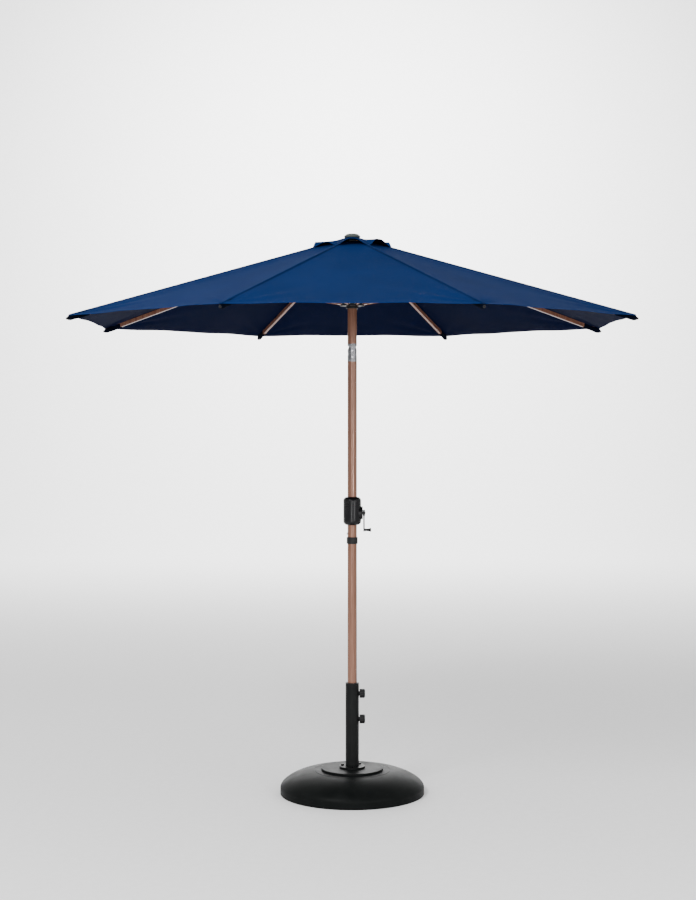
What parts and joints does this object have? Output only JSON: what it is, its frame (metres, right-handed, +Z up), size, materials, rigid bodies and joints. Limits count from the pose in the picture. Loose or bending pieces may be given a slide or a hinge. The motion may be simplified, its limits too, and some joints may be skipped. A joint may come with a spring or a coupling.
{
  "type": "patio umbrella with base",
  "caption": "Octagonal crank-lift patio umbrella with a vented canopy, a push-button tilting pole and a round weighted base with clamp knobs.",
  "frame": {"origin": "centre of the base's underside, on the floor and on the pole's axis", "axes": "+Z up along the pole; -Y is the front, where the tilt button is; +X is the side of the crank and the clamp knobs"},
  "size_m": [2.3652, 2.3652, 2.4972],
  "materials": {
    "base_black": "textured black coating",
    "ballast": "cast concrete fill",
    "black_steel": "satin black powder coat",
    "black_plastic": "glossy moulded black",
    "satin_plastic": "moulded black",
    "zinc": "zinc-plated",
    "pole_finish": "tan wood-look coating with a soft sheen",
    "rib_finish": "reddish-brown wood-look coating",
    "tilt_metal": "satin grey cast alloy",
    "crank_metal": "dark grey steel",
    "canopy_cloth": "woven navy outdoor cloth",
    "finial_plastic": "dark grey-green cap"
  },
  "bodies": {
    "stand": {"base_shell": "base_black", "base_ballast": "ballast", "base_plate": "black_steel", "stand_flange": "black_steel", "flange_bolt_1": "black_steel", "flange_bolt_2": "black_steel", "flange_bolt_3": "black_steel", "stand_tube": "black_steel", "stand_sleeve": "satin_plastic", "clamp_nut_lower": "black_steel", "clamp_nut_upper": "black_steel"},
    "clamp_pad_lower": {"clamp_pad_lower": "zinc"},
    "clamp_knob_lower": {"clamp_knob_lower": "satin_plastic"},
    "clamp_pad_upper": {"clamp_pad_upper": "zinc"},
    "clamp_knob_upper": {"clamp_knob_upper": "satin_plastic"},
    "pole_foot": {"pole_foot": "satin_plastic"},
    "pole": {"lower_pole": "pole_finish", "pole_collar": "satin_plastic", "main_pole": "pole_finish", "crank_housing": "black_plastic", "crank_housing_cap": "black_plastic", "tilt_lower": "tilt_metal", "tilt_pin": "zinc"},
    "snap_button": {"snap_button": "zinc"},
    "tilt_button": {"tilt_button": "zinc"},
    "crank": {"crank_spool": "crank_metal", "crank_hub": "black_plastic", "crank_arm": "crank_metal", "crank_screw": "zinc"},
    "crank_grip": {"crank_grip": "satin_plastic"},
    "top": {"tilt_upper": "tilt_metal", "top_pole": "pole_finish", "top_hub": "satin_plastic", "finial": "finial_plastic", "vent_cap": "canopy_cloth"},
    "runner": {"runner": "satin_plastic"},
    "rib_1": {"rib_1": "rib_finish", "canopy_panel_1": "canopy_cloth"},
    "strut_1": {"strut_1": "rib_finish"},
    "rib_2": {"rib_2": "rib_finish", "canopy_panel_2": "canopy_cloth"},
    "strut_2": {"strut_2": "rib_finish"},
    "rib_3": {"rib_3": "rib_finish", "canopy_panel_3": "canopy_cloth"},
    "strut_3": {"strut_3": "rib_finish"},
    "rib_4": {"rib_4": "rib_finish", "canopy_panel_4": "canopy_cloth"},
    "strut_4": {"strut_4": "rib_finish"},
    "rib_5": {"rib_5": "rib_finish", "canopy_panel_5": "canopy_cloth"},
    "strut_5": {"strut_5": "rib_finish"},
    "rib_6": {"rib_6": "rib_finish", "canopy_panel_6": "canopy_cloth"},
    "strut_6": {"strut_6": "rib_finish"},
    "rib_7": {"rib_7": "rib_finish", "canopy_panel_7": "canopy_cloth"},
    "strut_7": {"strut_7": "rib_finish"},
    "rib_8": {"rib_8": "rib_finish", "canopy_panel_8": "canopy_cloth"},
    "strut_8": {"strut_8": "rib_finish"}
  },
  "joints": [
    {"name": "pole_lift", "type": "slide", "parent": "stand", "child": "pole_foot", "axis": [0, 0, 1], "range_m": [0, 0.4]},
    {"name": "pole_swivel", "type": "hinge", "parent": "pole_foot", "child": "pole", "pos_m": [0, 0, 0.1133], "axis": [0, 0, 1], "continuous": true},
    {"name": "snap_press", "type": "slide", "parent": "pole", "child": "snap_button", "axis": [1, 0, 0], "range_m": [0, 0.004], "stiffness_N_per_m": 400, "springref_m": -0.003},
    {"name": "tilt_press", "type": "slide", "parent": "pole", "child": "tilt_button", "axis": [0, 1, 0], "range_m": [0, 0.003], "stiffness_N_per_m": 600, "springref_m": -0.003},
    {"name": "tilt", "type": "hinge", "parent": "pole", "child": "top", "pos_m": [0, 0, 1.974], "axis": [0, 1, 0], "range_deg": [0, 30]},
    {"name": "clamp_feed_lower", "type": "slide", "parent": "stand", "child": "clamp_pad_lower", "axis": [1, 0, 0], "range_m": [0, 0.008]},
    {"name": "clamp_turn_lower", "type": "hinge", "parent": "clamp_pad_lower", "child": "clamp_knob_lower", "pos_m": [0.05, 0, 0.329], "axis": [1, 0, 0], "range_deg": [0, 1920]},
    {"name": "clamp_feed_upper", "type": "slide", "parent": "stand", "child": "clamp_pad_upper", "axis": [1, 0, 0], "range_m": [0, 0.008]},
    {"name": "clamp_turn_upper", "type": "hinge", "parent": "clamp_pad_upper", "child": "clamp_knob_upper", "pos_m": [0.05, 0, 0.443], "axis": [1, 0, 0], "range_deg": [0, 1920]},
    {"name": "runner_slide", "type": "slide", "parent": "top", "child": "runner", "axis": [0, 0, 1], "range_m": [-0.82217, 0], "deforming": ["canopy_panel_1", "canopy_panel_2", "canopy_panel_3", "canopy_panel_4", "canopy_panel_5", "canopy_panel_6", "canopy_panel_7", "canopy_panel_8", "vent_cap"]},
    {"name": "crank_turn", "type": "hinge", "parent": "pole", "child": "crank", "pos_m": [0.05, 0, 1.25], "axis": [1, 0, 0], "range_deg": [-3365, 0]},
    {"name": "grip_spin", "type": "hinge", "parent": "crank", "child": "crank_grip", "pos_m": [0.07, 0, 1.174], "axis": [1, 0, 0], "continuous": true},
    {"name": "rib_fold_1", "type": "hinge", "parent": "top", "child": "rib_1", "pos_m": [0.0425, 0.0176, 2.457], "axis": [-0.3827, 0.9239, 0], "range_deg": [0, 67.4]},
    {"name": "strut_fold_1", "type": "hinge", "parent": "rib_1", "child": "strut_1", "pos_m": [0.53356, 0.22101, 2.27976], "axis": [0.3827, -0.9239, 0], "range_deg": [0, 142.89]},
    {"name": "rib_fold_2", "type": "hinge", "parent": "top", "child": "rib_2", "pos_m": [0.0176, 0.0425, 2.457], "axis": [-0.9239, 0.3827, 0], "range_deg": [0, 67.4]},
    {"name": "strut_fold_2", "type": "hinge", "parent": "rib_2", "child": "strut_2", "pos_m": [0.22101, 0.53356, 2.27976], "axis": [0.9239, -0.3827, 0], "range_deg": [0, 142.89]},
    {"name": "rib_fold_3", "type": "hinge", "parent": "top", "child": "rib_3", "pos_m": [-0.0176, 0.0425, 2.457], "axis": [-0.9239, -0.3827, 0], "range_deg": [0, 67.4]},
    {"name": "strut_fold_3", "type": "hinge", "parent": "rib_3", "child": "strut_3", "pos_m": [-0.22101, 0.53356, 2.27976], "axis": [0.9239, 0.3827, 0], "range_deg": [0, 142.89]},
    {"name": "rib_fold_4", "type": "hinge", "parent": "top", "child": "rib_4", "pos_m": [-0.0425, 0.0176, 2.457], "axis": [-0.3827, -0.9239, 0], "range_deg": [0, 67.4]},
    {"name": "strut_fold_4", "type": "hinge", "parent": "rib_4", "child": "strut_4", "pos_m": [-0.53356, 0.22101, 2.27976], "axis": [0.3827, 0.9239, 0], "range_deg": [0, 142.89]},
    {"name": "rib_fold_5", "type": "hinge", "parent": "top", "child": "rib_5", "pos_m": [-0.0425, -0.0176, 2.457], "axis": [0.3827, -0.9239, 0], "range_deg": [0, 67.4]},
    {"name": "strut_fold_5", "type": "hinge", "parent": "rib_5", "child": "strut_5", "pos_m": [-0.53356, -0.22101, 2.27976], "axis": [-0.3827, 0.9239, 0], "range_deg": [0, 142.89]},
    {"name": "rib_fold_6", "type": "hinge", "parent": "top", "child": "rib_6", "pos_m": [-0.0176, -0.0425, 2.457], "axis": [0.9239, -0.3827, 0], "range_deg": [0, 67.4]},
    {"name": "strut_fold_6", "type": "hinge", "parent": "rib_6", "child": "strut_6", "pos_m": [-0.22101, -0.53356, 2.27976], "axis": [-0.9239, 0.3827, 0], "range_deg": [0, 142.89]},
    {"name": "rib_fold_7", "type": "hinge", "parent": "top", "child": "rib_7", "pos_m": [0.0176, -0.0425, 2.457], "axis": [0.9239, 0.3827, 0], "range_deg": [0, 67.4]},
    {"name": "strut_fold_7", "type": "hinge", "parent": "rib_7", "child": "strut_7", "pos_m": [0.22101, -0.53356, 2.27976], "axis": [-0.9239, -0.3827, 0], "range_deg": [0, 142.89]},
    {"name": "rib_fold_8", "type": "hinge", "parent": "top", "child": "rib_8", "pos_m": [0.0425, -0.0176, 2.457], "axis": [0.3827, 0.9239, 0], "range_deg": [0, 67.4]},
    {"name": "strut_fold_8", "type": "hinge", "parent": "rib_8", "child": "strut_8", "pos_m": [0.53356, -0.22101, 2.27976], "axis": [-0.3827, -0.9239, 0], "range_deg": [0, 142.89]}
  ],
  "couplings": [
    {"joint": "crank_turn", "follows": "runner_slide", "rad_per_m": 71.429},
    {"joint": "clamp_turn_lower", "follows": "clamp_feed_lower", "rad_per_m": 4188.8},
    {"joint": "clamp_turn_upper", "follows": "clamp_feed_upper", "rad_per_m": 4188.8},
    {"joint": "rib_fold_1", "follows": "runner_slide", "rad_per_m": -1.4308},
    {"joint": "strut_fold_1", "follows": "runner_slide", "rad_per_m": -3.0333},
    {"joint": "rib_fold_2", "follows": "runner_slide", "rad_per_m": -1.4308},
    {"joint": "strut_fold_2", "follows": "runner_slide", "rad_per_m": -3.0333},
    {"joint": "rib_fold_3", "follows": "runner_slide", "rad_per_m": -1.4308},
    {"joint": "strut_fold_3", "follows": "runner_slide", "rad_per_m": -3.0333},
    {"joint": "rib_fold_4", "follows": "runner_slide", "rad_per_m": -1.4308},
    {"joint": "strut_fold_4", "follows": "runner_slide", "rad_per_m": -3.0333},
    {"joint": "rib_fold_5", "follows": "runner_slide", "rad_per_m": -1.4308},
    {"joint": "strut_fold_5", "follows": "runner_slide", "rad_per_m": -3.0333},
    {"joint": "rib_fold_6", "follows": "runner_slide", "rad_per_m": -1.4308},
    {"joint": "strut_fold_6", "follows": "runner_slide", "rad_per_m": -3.0333},
    {"joint": "rib_fold_7", "follows": "runner_slide", "rad_per_m": -1.4308},
    {"joint": "strut_fold_7", "follows": "runner_slide", "rad_per_m": -3.0333},
    {"joint": "rib_fold_8", "follows": "runner_slide", "rad_per_m": -1.4308},
    {"joint": "strut_fold_8", "follows": "runner_slide", "rad_per_m": -3.0333}
  ]
}
